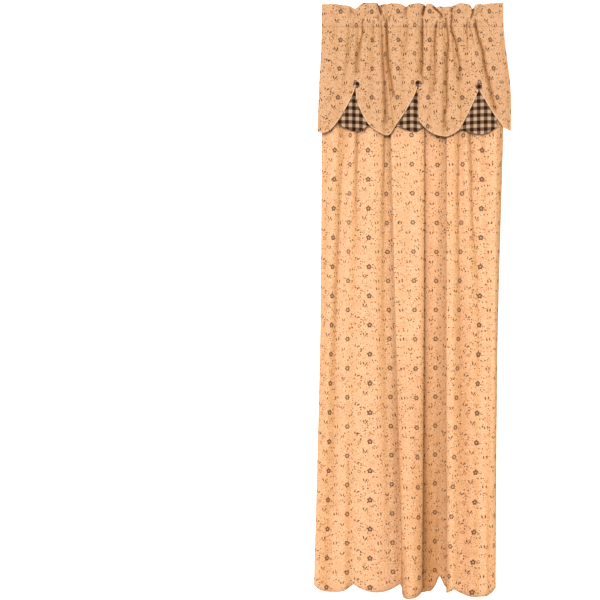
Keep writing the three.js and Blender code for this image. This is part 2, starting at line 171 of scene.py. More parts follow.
# Valleys between the gathers: place along X and depth at each level, half width of the trough,
# and how far the valley leans at the ruffle's top edge
GATHERS = table("x deep width lean", (
    ((-274, -266, -263, -263), (5, 4, 3, 0), 14, 20),
    ((-220, -230, -248, -270), (7, 8, 5, 0), 11, 6),
    ((-191, -198, -203, -209), (8, 10, 7, 5), 10, -8),
    ((-147, -138, -147, -155), (5, 8, 4, 2), 14, -6),
    ((-115, -108, -100, -99), (6, 9, 10, 8), 9, -11),
    ((-90, -91, -79, -61), (6, 10, 10, 6), 10, 0),
    ((-25, -26, -32, -35), (5, 7, 4, 0), 15, 0),
    ((35, 35, 27, 24), (7, 9, 8, 4), 14, 7),
    ((87, 78, 71, 66), (6, 9, 7, 0), 13, -18),
    ((120, 123, 116, 116), (7, 9, 8, 6), 10, -5),
    ((145, 156, 174, 185), (7, 10, 8, 4), 11, 18),
    ((197, 203, 214, 224), (5, 5, 2, 0), 14, 14),
    ((235, 255, 282, 304), (6, 7, 6, 4), 13, 24),
), MM)

# Where lines across the flat cloth come out on the gathered valance, at each level
VALANCE_MARKS = table("flat x", (
    (780, (-2581, -2606, -2679, -2769)),
    (2430, (-1459, -1448, -1473, -1484)),
    (4080, (-518, -525, -561, -579)),
    (5730, (641, 608, 554, 525)),
    (7380, (1694, 1705, 1774, 1846)),
    (9030, (2798, 2842, 3023, 3149)),
), TENTHS)

# Lower edge of the valance, from left to right. Each row is the lowest point of a lobe or the
# top of a slit. Its edge runs to the corner on either side as a power curve with that bend.
LOWER_EDGE = table("name at left right bend", (
    ("lobe_1", (-0.328, -0.409), (-0.344, -0.404), (-0.276, -0.373), (1, 2)),
    ("slit_1", (-0.207, -0.236), (-0.276, -0.373), (-0.160, -0.378), (0.75, 0.46)),
    ("lobe_2", (-0.090, -0.417), (-0.160, -0.378), (-0.061, -0.379), (1.75, 1.6)),
    ("slit_2", (0.019, -0.230), (-0.061, -0.379), (0.036, -0.382), (0.72, 0.10)),
    ("lobe_3", (0.122, -0.421), (0.036, -0.382), (0.170, -0.394), (2.5, 1.5)),
    ("slit_3", (0.238, -0.247), (0.170, -0.394), (0.328, -0.391), (0.87, 0.85)),
    ("lobe_4", (0.354, -0.400), (0.328, -0.391), (0.354, -0.400), (1.4, 1)),
))

# Check gussets set in behind the slits: lowest point, right corner, the pleat down the middle,
# how far the rows of the check turn down beside the pleat, and the size and area as cut
GUSSETS = table("name slit low right pleat turn cut area", (
    ("gusset_1", "slit_1", (-0.205, -0.402), (-0.155, -0.378), -0.200, (0.0, 0.2),
     (0.130, 0.161), 0.0093),
    ("gusset_2", "slit_2", (0.009, -0.404), (0.041, -0.382), -0.004, (0.1, 0.12),
     (0.107, 0.169), 0.0078),
    ("gusset_3", "slit_3", (0.245, -0.414), (0.304, -0.387), 0.250, (0.08, 0.0),
     (0.141, 0.171), 0.0130),
))
BUTTONS = table("name at cover", (
    ("button_1", (-0.204, -0.234), (0.0085, 0.0090)),
    ("button_2", (0.020, -0.230), (0.0170, 0.0095)),
    ("button_3", (0.237, -0.240), (0.0127, 0.0150)),
))

# Heights at which each fold of the panel is stated: below the valance, halfway, at the hem
FOLD_LEVELS = (-0.431, -1.155, HEM_BOTTOM)

# Folds of the panel from left to right: place along X, depth behind the front ridges, and how far
# across the flat cloth they lie
FOLDS = table("x deep flat", (
    # left side
    ((-328, -334, -357), (20, 22, 2), (0, 0, 0)),
    ((-280, -302, -335), (0, 0, -4), (57, 46, 29)),
    ((-243, -276, -292), (14, 10, 8), (113, 83, 80)),
    ((-214, -240, -252), (2, 0, -6), (154, 134, 124)),
    ((-193, -205, -216), (15, 6, 7), (182, 171, 162)),
    ((-152, -160, -143), (0, 0, 0), (233, 216, 232)),
    ((-110, -122, -96), (6, 1, 4), (285, 258, 278)),
    ((-94, -96, -67), (19, 14, 8), (309, 290, 306)),
    # the deep fold that stands forward
    ((-50, -30, -42), (25, 21, 5), (356, 358, 332)),
    ((-78, -60, -39), (6, -6, -58), (391, 399, 396)),
    ((-24, -12, -19), (6, -6, -84), (448, 448, 430)),
    ((-4, 7, 7), (0, -12, -78), (469, 468, 457)),
    ((27, 27, 21), (0, -12, -66), (501, 489, 476)),
    ((45, 41, 27), (8, -2, -52), (521, 507, 492)),
    # the channel
    ((14, 6, 2), (13, 10, -16), (552, 547, 537)),
    ((42, 36, 44), (20, 20, 6), (582, 581, 587)),
    ((85, 87, 84), (20, 26, 30), (625, 634, 634)),
    ((134, 136, 122), (26, 30, 26), (675, 684, 681)),
    ((154, 156, 146), (18, 16, -6), (697, 709, 731)),
    # right side
    ((124, 121, 117), (6, -4, -34), (731, 750, 780)),
    ((146, 142, 129), (0, -12, -56), (755, 773, 809)),
    ((174, 178, 165), (12, 2, -48), (786, 813, 844)),
    ((194, 208, 205), (2, -10, -58), (810, 848, 882)),
    ((216, 243, 235), (14, -3, -50), (838, 886, 911)),
    ((240, 262, 255), (2, -8, -56), (868, 905, 930)),
    ((268, 281, 266), (8, -4, -48), (897, 924, 943)),
    ((302, 297, 279), (0, -4, -40), (931, 939, 957)),
    ((333, 312, 294), (26, 18, -34), (984, 984, 984)),
), MM)

# The deep channel of the panel: where it lies on the flat cloth and how strong its painted warm shade is at
# each level
CHANNEL = (0.530, 0.765)
CHANNEL_FADE = 0.030
CHANNEL_PAINTED_SHADE = (0.20, 0.45, 1.0)

# Painted shade: cloth turned from the key light is painted a warmer, darker tan: the facing at which that
# starts, and its range
TURN_FROM = 0.96
TURN_FULL = 0.22

# Painted soft shade on the panel's folds, and a painted warm shade band beside its left edge, along a soft
# fold: the line, how strong it is at each height and half width
SHADES = table("x z full wide", (
    ((0.012, 0.012, 0.008), (-1.10, -1.45, -2.06), (0.0, 0.34, 0.22), 0.032),
    ((-0.052, -0.050, -0.046), (-1.10, -1.45, -2.06), (0.0, 0.36, 0.34), 0.014),
    ((0.186, 0.186, 0.186), (-0.90, -1.45, -2.06), (0.06, 0.40, 0.42), 0.026),
    ((0.052, 0.050, 0.046), (-0.42, -1.15, -2.06), (0.22, 0.38, 0.12), 0.012),
))
SIDE_BAND = table("x z full wide", (((-0.313, -0.315, -0.336), FOLD_LEVELS, (0.7, 0.7, 0.7), 0.006),))

# Where the hem is drawn up or let down inside its folds
HEM_LIFTS = table("at rise width", (
    (657, 22, 15),
    (618, -8, 15),
    (740, 12, 34),
), MM)

# Creases that run down the gathered cloth, from the pocket into the valance: their line, how
# deep they are at the top and at the foot, and how wide they are on either side of the line
CREASES = table("x z deep wide", (
    ((-1780, -1809, -1804, -1881, -1929, -1977, -2015), (145, -79, -411, -708, -969, -1361, -2020),
     (61, 21), (40, 60)),
    ((-2095, -2155, -2217, -2265, -2324, -2394, -2521), (145, -370, -701, -969, -1361, -1801, -2312),
     (18, 12), (50, 60)),
    ((-1421, -1414, -1409, -1379), (73, -144, -444, -958), (42, 14), (30, 40)),
    ((-1131, -1121, -1105, -1072, -1059, -1039, -1022, -997, -972, -990), (145, -144, -370, -958, -1288,
     -1654, -1983, -2714, -3255, -3904), (36, 40), (32, 90)),
    ((-936, -909, -903, -891, -875, -841, -771, -701, -575), (145, -165, -510, -958, -1434, -1727, -2166,
     -2604, -2930), (67, 41), (60, 28)),
    ((-197, -181, -194, -210, -245), (73, -165, -481, -774, -1215), (37, 14), (50, 50)),
    ((368, 386, 382, 379, 368, 339, 401), (182, -144, -462, -870, -1434, -1874, -2385), (73, 41), (60, 25)),
    ((499, 519, 537), (73, -481, -921), (31, 11), (30, 30)),
    ((911, 879, 841, 824, 811, 820, 793, 762, 651), (73, -144, -481, -774, -1031, -1361, -1983, -2312,
     -2822), (55, 27), (32, 45)),
    ((998, 972, 969), (73, -444, -811), (31, 11), (25, 25)),
    ((1107, 1083), (73, -517), (31, 14), (25, 25)),
    ((1212, 1252, 1294, 1305, 1285, 1257, 1225, 1220, 1224, 1156, 1166, 1213), (182, -97, -444, -774, -1068,
     -1361, -2093, -2714, -3060, -3327, -3680, -4084), (56, 40), (44, 40)),
    ((1453, 1444, 1419, 1461, 1570, 1618, 1630, 1679, 1715, 1736), (300, 113, -144, -381, -701, -958, -1200,
     -1434, -1874, -2349), (73, 25), (35, 40)),
    ((2034, 1987, 2014, 1999), (164, -216, -789, -1178), (42, 14), (30, 40)),
    ((2060, 2078, 2141, 2185, 2220, 2253), (37, -165, -381, -628, -811, -1141), (37, 14), (30, 30)),
    ((2284, 2324, 2396, 2509, 2585, 2604, 2661, 2765, 2851, 2940, 3030), (145, -108, -510, -870, -1200,
     -1434, -1801, -2203, -2604, -3038, -3471), (67, 41), (60, 35)),
), TENTHS)

# Creases of the ruffle and of the front of the pocket
RUFFLE_CREASES = table("x z deep wide", (
    ((-1251, -1237, -1139, -1131), (692, 638, 314, 145), (112, 70), (20, 50)),
    ((-1251, -1204), (274, -54), (49, 28), (25, 30)),
    ((-1055, -972), (274, -36), (49, 28), (30, 25)),
    ((-830, -834), (256, -108), (42, 28), (25, 30)),
    ((-208, -229), (583, 73), (56, 28), (60, 40)),
    ((486, 476, 403, 368), (642, 591, 267, 113), (112, 70), (50, 20)),
    ((777, 850, 1075, 1085), (620, 478, 249, 1), (98, 56), (50, 22)),
    ((1028, 998), (256, 37), (42, 28), (25, 25)),
    ((1435, 1453), (547, 300), (56, 70), (60, 35)),
    ((2213, 2202, 2128, 2147), (529, 314, 113, -36), (98, 42), (25, 45)),
    ((-2727, -2484, -2327), (583, 445, 329), (28, 28), (60, 60)),
    ((-2273, -2218, -2095, -2062), (511, 427, 267, 109), (35, 28), (40, 40)),
    ((-673, -671), (274, 37), (28, 21), (30, 30)),
), TENTHS)

# Creases of the panel, beside the folds
PANEL_CREASES = table("x z deep wide", (
    ((-2398, -2423, -2496, -2568, -2622, -2695, -2746, -2782, -2749, -2811, -2782, -2688), (-4015, -4740,
     -5211, -6117, -7749, -9561, -11193, -12643, -14093, -15905, -17355, -18080), (22, 26), (66, 33)),
    ((-1963, -1970, -1980, -1941, -1897), (-4015, -5211, -6480, -7640, -8727), (30, 14), (50, 50)),
    ((-973, -1009, -1056, -1100, -1190, -1216, -1187, -1154, -1114), (-4015, -5211, -6190, -7169, -8365,
     -10069, -11700, -12896, -14165), (18, 6), (55, 44)),
    ((-230, -212, -157, -194), (-4015, -5755, -7567, -9742), (19, 8), (66, 55)),
    ((1721, 1706, 1677, 1713, 1764, 1764, 1728), (-4015, -5211, -6117, -8292, -11011, -14093, -16268),
     (37, 20), (55, 55)),
    ((2134, 2177, 2185, 2221, 2308, 2380, 2424, 2417), (-4015, -5030, -6480, -7386, -8220, -9380, -11193,
     -13005), (40, 16), (60, 39)),
    ((2562, 2616, 2743, 2815), (-4160, -4667, -5320, -5827), (19, 16), (44, 66)),
    ((-3003, -3039, -3076), (-4160, -5574, -7567), (12, 8), (44, 66)),
    ((-1535, -1571, -1499, -1462), (-14455, -15905, -18080, -19530), (12, 16), (88, 66)),
    ((2670, 2598, 2634, 2598), (-13730, -15543, -18080, -19712), (15, 16), (88, 66)),
), TENTHS)

# Top edge of the ruffle, from left to right
RUFFLE_EDGE = table("x z", (
    ((-3247, -2800, -2509, -2255, -2073, -1964, -1837, -1673, -1455, -1255, -1215, -1164, -1000, -691, -364,
     -208, -124, 72, 290, 457, 494, 537, 719, 799, 890, 945, 1163, 1417, 1563, 1690, 1890, 2108, 2202, 2282,
     2580, 2908, 3319), (623, 631, 609, 562, 500, 558, 649, 682, 692, 685, 627, 605, 642, 660, 627, 562,
     620, 652, 667, 642, 591, 663, 656, 583, 511, 543, 558, 547, 620, 671, 656, 612, 482, 605, 642, 660,
     674)),
), TENTHS)[0]

# Print: one repeat, in metres of flat cloth, and its inks
PRINT_TILE = (0.165, 0.1055)
SLATE = (0.078, 0.042, 0.025, 1.0)
BROWN = (0.036, 0.014, 0.005, 1.0)
TAN = (0.200, 0.090, 0.035, 1.0)
WINE = (0.110, 0.026, 0.016, 1.0)

# Flowers of the print: place, radius, petals, turn, how solid they are, and ink
FLOWERS = table("at radius petals turn solid ink", (
    ((0.0, 0.0), 0.0102, 5, 0.3, 0.80, SLATE),
    ((0.0825, -0.0507), 0.0094, 6, 0.1, 0.50, SLATE),
    ((0.1270, -0.0030), 0.0066, 6, 0.7, 0.25, TAN),
))
# Sprigs: place, the way they point, how far each leaf stands from the middle and leans from it,
# half length and half width of a leaf, ink and its strength
SPRIGS = table("at turn apart lean size ink strength", (
    ((0.0125, -0.003), 1.4, 0, 0, (0.0034, 0.0015), SLATE, 0.85),
    ((0.019, -0.0052), 1.2, 0, 0, (0.0023, 0.0013), BROWN, 0.75),
    ((-0.0175, -0.033), -0.15, 0.0052, 0.45, (0.0058, 0.002), BROWN, 0.8),
    ((-0.013, -0.04), 0, 0.0042, 0, (0.0022, 0.002), BROWN, 0.65),
    ((0.0172, -0.0222), 0, 0.0063, 0, (0.0026, 0.0024), BROWN, 0.75),
    ((0.034, -0.052), 0.15, 0.0055, 0.12, (0.0056, 0.0021), BROWN, 0.8),
    ((-0.035, 0.0245), -0.9, 0.0058, 0, (0.0024, 0.0023), BROWN, 0.8),
    ((0.005, 0.0305), 0, 0.0052, 0.35, (0.0042, 0.0012), SLATE, 0.4),
    ((0.005, 0.0305), 0, 0, 0, (0.0038, 0.0011), SLATE, 0.4),
    ((0.064, 0.0185), 0.1, 0.0048, 0.5, (0.0054, 0.0019), BROWN, 0.8),
    ((0.064, 0.001), 0, 0, 0, (0.002, 0.0015), SLATE, 0.75),
    ((0.095, -0.0105), 0.35, 0.0048, 0.1, (0.0046, 0.0019), BROWN, 0.75),
    ((0.117, -0.076), -0.4, 0.0048, 0.25, (0.005, 0.0019), BROWN, 0.75),
    ((0.101, -0.033), 0.9, 0.0045, 0, (0.0017, 0.0016), BROWN, 0.7),
    ((-0.032, 0.0105), 0, 0, 0, (0.0025, 0.0024), BROWN, 0.8),
    ((0.036, -0.08), 0.3, 0.0055, 0, (0.0023, 0.0021), WINE, 0.75),
    ((0.144, -0.088), -0.2, 0.004, 0.3, (0.0032, 0.0013), SLATE, 0.65),
))
# Small dots scattered between the motifs: dots to the metre, share of places that have one,
# least and largest radius as a share of the spacing, ink and its strength
DOTS = table("rate shown radius ink strength", (
    (265.0, 0.60, (0.20, 0.34), TAN, 0.55),
    (130.0, 0.60, (0.19, 0.30), BROWN, 0.70),
    (84.0, 0.50, (0.15, 0.22), BROWN, 0.90),
    (63.0, 0.55, (0.10, 0.15), WINE, 1.0),
))
DOT_SCATTER = 0.8

# How a flower is drawn, in shares of its radius: how deep its petals are cut, the darker ring
# and the pale heart, each with how strongly it shows, and how soft the outlines are
PETAL_CUT = 0.13
RING = (0.50, 0.72)
RING_SHOWN = 0.85
HEART = 0.34
HEART_SHOWN = 0.55
LEAF_OUTLINE = (0.75, 1.25)
SOFT = dict(petal=0.10, heart=0.25, dot=0.2)

# Tones of the printed cotton: where the print starts, its pale, ground and deep tan, and how
# strong the print is
PANEL_PRINT = dict(
    offset=(-0.057, 0.0468), strength=1.0,
    tones=((0.39, 0.256, 0.172, 1.0), (0.342, 0.211, 0.129, 1.0), (0.298, 0.172, 0.094, 1.0)))
# The valance's tones are a darker copy of the panel's: painted shade for the doubled cloth, which lets less
# light through.
VALANCE_PRINT = dict(
    offset=(-0.078, 0.069), strength=1.25,
    tones=((0.325, 0.212, 0.136, 1.0), (0.280, 0.174, 0.105, 1.0), (0.245, 0.144, 0.078, 1.0)))
# Painted highlight along the turned lower edges of the valance, where they would catch the light: its tone
# and how strongly it shows
RIM_HIGHLIGHT_TONE = (0.40, 0.27, 0.175, 1.0)
RIM_SHOWN = 0.65

# Painted shade: what each value that the cloth carries multiplies its colour by, to darken and warm the
# cloth in creases, along crease lines, in the channel, beside the left edge and where it turns from the key
# light
TINTS = dict(
    fold=(0.70, 0.57, 0.43, 1.0),
    line=(0.52, 0.38, 0.27, 1.0),
    glow=(0.96, 0.885, 0.79, 1.0),
    turned=(1.02, 0.98, 0.86, 1.0),
)

# Finish of the cloths
CALICO_FINISH = {
    "Roughness": 0.92, "Specular IOR Level": 0.15, "Sheen Weight": 0.04, "Sheen Roughness": 0.5}
CHECK_FINISH = {"Roughness": 0.9, "Specular IOR Level": 0.08}

# Noises of the cloth: scale, detail and roughness
NOISES = dict(
    wobble=(130.0, 1.0, 0.5), cloud=(26.0, 3.0, 0.5), speck=(170.0, 2.0, 0.7),
    slubs=(420.0, 2.0, 0.5), crumple=(34.0, 3.0, 0.55), stray=(700.0, 2.0, 0.5),
)
WOBBLE = (0.0014, -0.0012)
CLOUD_RANGE = (0.36, 0.64)
CLOUD_SHOWN = 0.5
SPECK_DEEP = (0.50, 0.30)
SPECK_PALE = (0.48, 0.72)

# Weave and gingham: bumps as strength and height, and where a band of the check ends
THREAD = 0.00075
THREAD_BUMP = (0.25, 0.0002)
CRUMPLE_BUMP = (0.35, 0.0025)
CHECK = 0.0254
BAND_EDGE = (0.235, 0.265)
STRAY_SHOWN = 0.06
CHECK_DARK = (0.018, 0.006, 0.0015, 1.0)
CHECK_MID = (0.088, 0.054, 0.033, 1.0)
CHECK_PALE = (0.225, 0.165, 0.118, 1.0)

# Camera, floor and soft studio lights: the way toward the lamp, power and how soft it is
CAMERA_AT = (-0.40725, -3.520, -1.0105)
VIEW_WIDTH = 2.172
VIEW_DISTANCE = 3.5
SENSOR = 36.0
FLOOR = -2.11
FLOOR_RADIUS = 60.0
FLOOR_FINISH = {"Base Color": (0.90, 0.90, 0.90, 1.0), "Roughness": 0.9}
WORLD_STRENGTH = 1.0
LIGHTS = table("name toward power spread", (
    ("key", (-0.30, -1.0, 0.18), 3.55, 22.0),
    ("top", (0.1, -0.25, 1.0), 0.3, 40.0),
    ("rear", (0.3, 1.0, 0.25), 1.6, 50.0),
))


def ease(t):
    s = np.clip(t, 0.0, 1.0)
    return s * s * (3 - 2 * s)


def trough(distance, width):
    return np.exp(-((distance / width) ** 2))


def through(places, values, at):
    """Value at a place, on a smooth curve through values stated at rising places."""
    places = np.asarray(places, float)
    values = np.asarray(values, float)
    last = len(places) - 1
    before = np.maximum(np.arange(last + 1) - 1, 0)
    after = np.minimum(np.arange(last + 1) + 1, last)
    slopes = (values[after] - values[before]) / (places[after] - places[before])
    at = np.clip(at, places[0], places[last])
    i = np.clip(np.searchsorted(places, at, side="right") - 1, 0, last - 1)
    span = places[i + 1] - places[i]
    t = (at - places[i]) / span
    chord = (values[i + 1] - values[i]) / span
    bend = (1 - t) * (slopes[i] - chord) - t * (slopes[i + 1] - chord)
    return values[i] + (values[i + 1] - values[i]) * t + span * t * (1 - t) * bend


def glide(levels, values, z):
    """Value at height z of a column stated at falling levels."""
    return through(-np.asarray(levels, float), values, -np.asarray(z, float))


# Creases, folds and gathers

def crease_troughs(creases, x, z):
    """For each crease: how far x lies from its line, how far down it z lies, and its depth there."""
    for crease in creases:
        top, foot = crease["z"][0], crease["z"][-1]
        line = glide(crease["z"], crease["x"], z)
        share = np.clip((top - z) / (top - foot), 0.0, 1.0)
        deep = crease["deep"][0] * (1 - share) + crease["deep"][1] * share
        shown = ease((top - z) / FADE_IN) * ease((z - foot) / min(FADE_OUT, (top - foot) * FADE_SHARE))
        yield crease, x - line, share, deep * shown


def crease_depth(creases, x, z):
    """Depth of the listed creases: each is a trough that fades out at both ends."""
    return sum(deep * trough(off, np.where(off < 0, *crease["wide"]) * (1 + CREASE_SPREAD * share))
               for crease, off, share, deep in crease_troughs(creases, x, z))


def painted_crease_line(creases, x, z):
    """Painted shade: the dark line at the bottom of each crease, from 0 to 1."""
    shade = 0.0
    for _, off, _, deep in crease_troughs(creases, x, z):
        shade = np.maximum(shade, deep / LINE_FULL * trough(off, LINE_WIDTH))
    return np.clip(shade, 0.0, 1.0)


def fold_shade(depth):
    """Painted shade: how much warmer and darker the cloth is painted at the bottom of a crease, from 0 to
    1.
    """
    return np.clip(depth / FOLD_FULL, 0.0, 1.0) ** FOLD_POWER


def gather_depth(x, z):
    """Depth of the gathers behind their ridges, on the seam or the valance."""
    return sum(glide(GATHER_LEVELS, gather["deep"], z)
               * trough(x - glide(GATHER_LEVELS, gather["x"], z), gather["width"])
               for gather in GATHERS)


def ripple(x, z, wave, phase):
    """Uneven fine ripples across the cloth: three waves that drift in and out of step."""
    drift = DRIFT * np.sin(z * DRIFT_RATE + phase)
    a = np.sin(2 * np.pi * x / wave + phase + drift)
    b = np.sin(2 * np.pi * x / (wave * RIPPLE_SECOND) + 2.1 * phase + 1.7 * drift)
    c = np.sin(2 * np.pi * x / (wave * RIPPLE_THIRD) + 0.7 * phase)
    return (0.5 * a + 0.3 * b) * (0.6 + 0.4 * c)


# The valance: front cloth as a height over X and Z

def valance_sides(z):
    return glide(GATHER_LEVELS, VALANCE_LEFT, z), glide(GATHER_LEVELS, VALANCE_RIGHT, z)


def puckers(x, z):
    fade = np.exp(-(CLOTH_TOP - z) / PUCKER_FADE)
    return PUCKER_DEPTH * fade * ripple(x, z, PUCKER_WAVE, PUCKER_PHASE)


def hanging_front(x, z):
    left, right = valance_sides(z)
    edges = trough(x - left, EDGE_TURN_WIDTH) + trough(x - right, EDGE_TURN_WIDTH)
    turn = EDGE_TURN * edges * ease((CLOTH_TOP - z) / EDGE_TURN_RISE)
    plane = glide(GATHER_LEVELS, VALANCE_PLANE, z)
    return plane + gather_depth(x, z) + turn + puckers(x, z) + crease_depth(CREASES, x, z)


def button_seat(button):
    bx, bz = button["at"]
    return float(glide(GATHER_LEVELS, VALANCE_PLANE, bz) + SEAT_SHARE * gather_depth(bx, bz))


def valance_front(x, z):
    y = hanging_front(x, z)
    for button in BUTTONS:
        bx, bz = button["at"]
        hold = ease((PAD_OUTER - np.hypot(x - bx, z - bz)) / (PAD_OUTER - PAD_INNER))
        y = y + (button_seat(button) - y) * hold
    return y


def slope_of(height, x, z):
    return (height(x + SLOPE_STEP, z) - height(x - SLOPE_STEP, z)) / (2 * SLOPE_STEP)


def corner_curve(start, end, bend, x):
    span = end[0] - start[0]
    s = np.clip((x - start[0]) / span, 0.0, 1.0) if span else 0.0 * x
    return start[1] + (end[1] - start[1]) * s ** bend


def edge_curve(row, x):
    """Height of an edge that runs from its own point to the corner on either side."""
    return np.where(x < row["at"][0],
                    corner_curve(row["at"], row["left"], row["bend"][0], x),
                    corner_curve(row["at"], row["right"], row["bend"][1], x))


def lower_edge(x):
    z = np.full(len(x), LOWER_EDGE[-1]["at"][1])
    for row in reversed(LOWER_EDGE):
        z = np.where(x <= row["right"][0], edge_curve(row, x), z)
    return z


def flared(x, z):
    """The valance narrows towards the seam, and its outer columns lean with its sides."""
    left, right = valance_sides(z)
    foot_left, foot_right = valance_sides(GATHER_LEVELS[-1])
    near_left = np.maximum(0, 1 - (x - foot_left) / FLARE_REACH)
    near_right = np.maximum(0, 1 - (foot_right - x) / FLARE_REACH)
    return x + (left - foot_left) * near_left + (right - foot_right) * near_right


def face_points(height, x, z):
    """Points on the two faces of a cloth whose middle is a height over X and Z."""
    slope = slope_of(height, x, z)
    half = CLOTH / 2 / np.hypot(1, slope)
    y = height(x, z)
    return [np.stack([x + slope * reach, y - reach, z], axis=-1) for reach in (half, -half)]


# Meshes

def placed(name, data):
    piece = bpy.data.objects.new(name, data)
    bpy.context.scene.collection.objects.link(piece)
    return piece


def make_object(name, points, faces, uvs, material, smooth=True):
    mesh = bpy.data.meshes.new(name)
    mesh.from_pydata(points.reshape(-1, 3).tolist(), [], faces)
    layer = mesh.uv_layers.new(name="UVMap")
    corner = np.zeros(len(mesh.loops), np.int32)
    mesh.loops.foreach_get("vertex_index", corner)
    layer.data.foreach_set("uv", uvs.reshape(-1, 2)[corner].astype(np.float32).ravel())
    mesh.polygons.foreach_set("use_smooth", np.ones(len(mesh.polygons), bool) & smooth)
    mesh.update()
    mesh.materials.append(material)
    return placed(name, mesh)


def give_values(piece, **values):
    """Numbers that the points of a piece carry. The two faces of a sheet share theirs."""
    for name, value in values.items():
        layer = piece.data.attributes.new(name, "FLOAT", "POINT")
        layer.data.foreach_set("value", np.resize(value, len(piece.data.vertices)).astype(np.float32))


def make_sheet(name, front, back, uv, material):
    """Closed sheet from grids of front and back points, rows from the top down."""
    index = np.arange(front[..., 0].size).reshape(front.shape[:2])
    corners = [index[:-1, :-1], index[1:, :-1], index[1:, 1:], index[:-1, 1:]]
    quads = np.stack(corners, axis=-1).reshape(-1, 4)
    faces = [quads, quads[:, ::-1] + index.size]
    for edge in (index[0], index[-1, ::-1], index[::-1, 0], index[:, -1]):
        other = edge + index.size
        faces.append(np.stack([edge[:-1], edge[1:], other[1:], other[:-1]], axis=1))
    faces = np.concatenate(faces).tolist()
    points = np.concatenate([front.reshape(-1, 3), back.reshape(-1, 3)])
    smooth = np.arange(len(faces)) < 2 * len(quads)
    return make_object(name, points, faces, np.concatenate([uv.reshape(-1, 2)] * 2), material, smooth)


# Materials

class Nodes:
    """Builds a material's nodes from short calls; every value is a number or a socket."""

    def __init__(self, tree):
        self.tree = tree

    def add(self, kind, inputs=(), **settings):
        node = self.tree.nodes.new(kind)
        for key, value in settings.items():
            setattr(node, key, value)
        for key, value in dict(inputs).items():
            self.link(value, node.inputs[key])
        return node

    def link(self, value, socket):
        if isinstance(value, bpy.types.NodeSocket):
            self.tree.links.new(value, socket)
        else:
            socket.default_value = value

    def math(self, operation, *values):
        return self.add("ShaderNodeMath", enumerate(values), operation=operation).outputs[0]

    def times(self, a, b):
        return self.math("MULTIPLY", a, b)

    def mix(self, factor, a, b, **settings):
        inputs = {0: factor, 6: a, 7: b}
        return self.add("ShaderNodeMix", inputs, data_type="RGBA", **settings).outputs[2]

    def step(self, value, low, high):
        """Rises smoothly from 0 to 1 as value goes from low to high."""
        inputs = enumerate((value, low, high, 0.0, 1.0))
        return self.add("ShaderNodeMapRange", inputs, interpolation_type="SMOOTHSTEP").outputs[0]

    def noise(self, vector, name):
        scale, detail, rough = NOISES[name]
        inputs = {"Vector": vector, "Scale": scale, "Detail": detail, "Roughness": rough}
        return self.add("ShaderNodeTexNoise", inputs).outputs["Fac"]

    def bump(self, height, strength, distance):
        inputs = {"Height": height, "Strength": strength, "Distance": distance}
        return self.add("ShaderNodeBump", inputs)

    def carried(self, name):
        """A value that the points of the piece carry."""
        return self.add("ShaderNodeAttribute", attribute_name=name).outputs["Fac"]

    def uv(self):
        vector = self.add("ShaderNodeUVMap", uv_map="UVMap").outputs[0]
        split = self.add("ShaderNodeSeparateXYZ", {0: vector})
        return vector, split.outputs[0], split.outputs[1]

    def blend2(self, x, a, y, b, c=0.0):
        """a x + b y + c"""
        rest = self.math("MULTIPLY_ADD", y, b, c)
        return self.math("MULTIPLY_ADD", x, a, rest)

    def motif_frame(self, u, v, at, turn):
        """Across and along coordinates of the nearest copy of a motif that points along turn."""
        half_u, half_v = PRINT_TILE[0] / 2, PRINT_TILE[1] / 2
        du = self.math("WRAP", self.math("SUBTRACT", u, at[0]), half_u, -half_u)
        dv = self.math("WRAP", self.math("SUBTRACT", v, at[1]), half_v, -half_v)
        cos, sin = math.cos(turn), math.sin(turn)
        return self.blend2(du, cos, dv, sin), self.blend2(du, -sin, dv, cos)

    def squares(self, a, b):
        return self.math("MULTIPLY_ADD", a, a, self.times(b, b))

    def leaves(self, x, y, apart, lean, size):
        """A pair of leaves on either side of a motif's axis, or one leaf on it."""
        long, half = size
        cos, sin = math.cos(lean), math.sin(lean)
        side = self.math("ABSOLUTE", x)
        along = self.blend2(side, sin / long, y, cos / long, -apart * sin / long)
        across = self.blend2(side, cos / half, y, -sin / half, -apart * cos / half)
        return self.math("SUBTRACT", 1.0, self.step(self.squares(along, across), *LEAF_OUTLINE))

    def disc(self, share, soft):
        return self.math("SUBTRACT", 1.0, self.step(share, 1.0 - soft, 1.0 + soft))


def new_material(name, finish):
    material = bpy.data.materials.new(name)
    material.use_nodes = True
    shader = material.node_tree.nodes["Principled BSDF"]
    for socket, value in finish.items():
        shader.inputs[socket].default_value = value
    return material, Nodes(material.node_tree), shader


def scattered_dots(n, plane, colour, dots, strength):
    inputs = {"Vector": plane, "Scale": dots["rate"], "Randomness": DOT_SCATTER}
    cells = n.add("ShaderNodeTexVoronoi", inputs, feature="F1")
    cell = n.add("ShaderNodeSeparateColor", {0: cells.outputs["Color"]})
    least, most = dots["radius"]
    radius = n.math("MULTIPLY_ADD", cell.outputs[1], most - least, least)
    shown = n.math("LESS_THAN", cell.outputs[0], dots["shown"])
    disc = n.disc(n.math("DIVIDE", cells.outputs["Distance"], radius), SOFT["dot"])
    mask = n.times(shown, disc)
    return n.mix(n.times(mask, min(1.0, dots["strength"] * strength)), colour, dots["ink"])


def printed_flower(n, u, v, colour, flower, ground):
    x, y = n.motif_frame(u, v, flower["at"], flower["turn"])
    radius = flower["radius"]
    reach = n.math("SQRT", n.squares(x, y))
    lobes = n.math("COSINE", n.times(n.math("ARCTAN2", y, x), flower["petals"]))
    outline = n.math("MULTIPLY_ADD", lobes, PETAL_CUT * radius, (1 - PETAL_CUT) * radius)
    share = n.math("DIVIDE", reach, outline)
    petals = n.disc(share, SOFT["petal"])
    ring = n.times(petals, n.step(share, *RING))
    heart = n.disc(n.math("DIVIDE", reach, HEART * radius), SOFT["heart"])
    colour = n.mix(n.times(petals, flower["solid"]), colour, flower["ink"])
    colour = n.mix(n.times(ring, RING_SHOWN), colour, flower["ink"])
    return n.mix(n.times(heart, HEART_SHOWN), colour, ground)


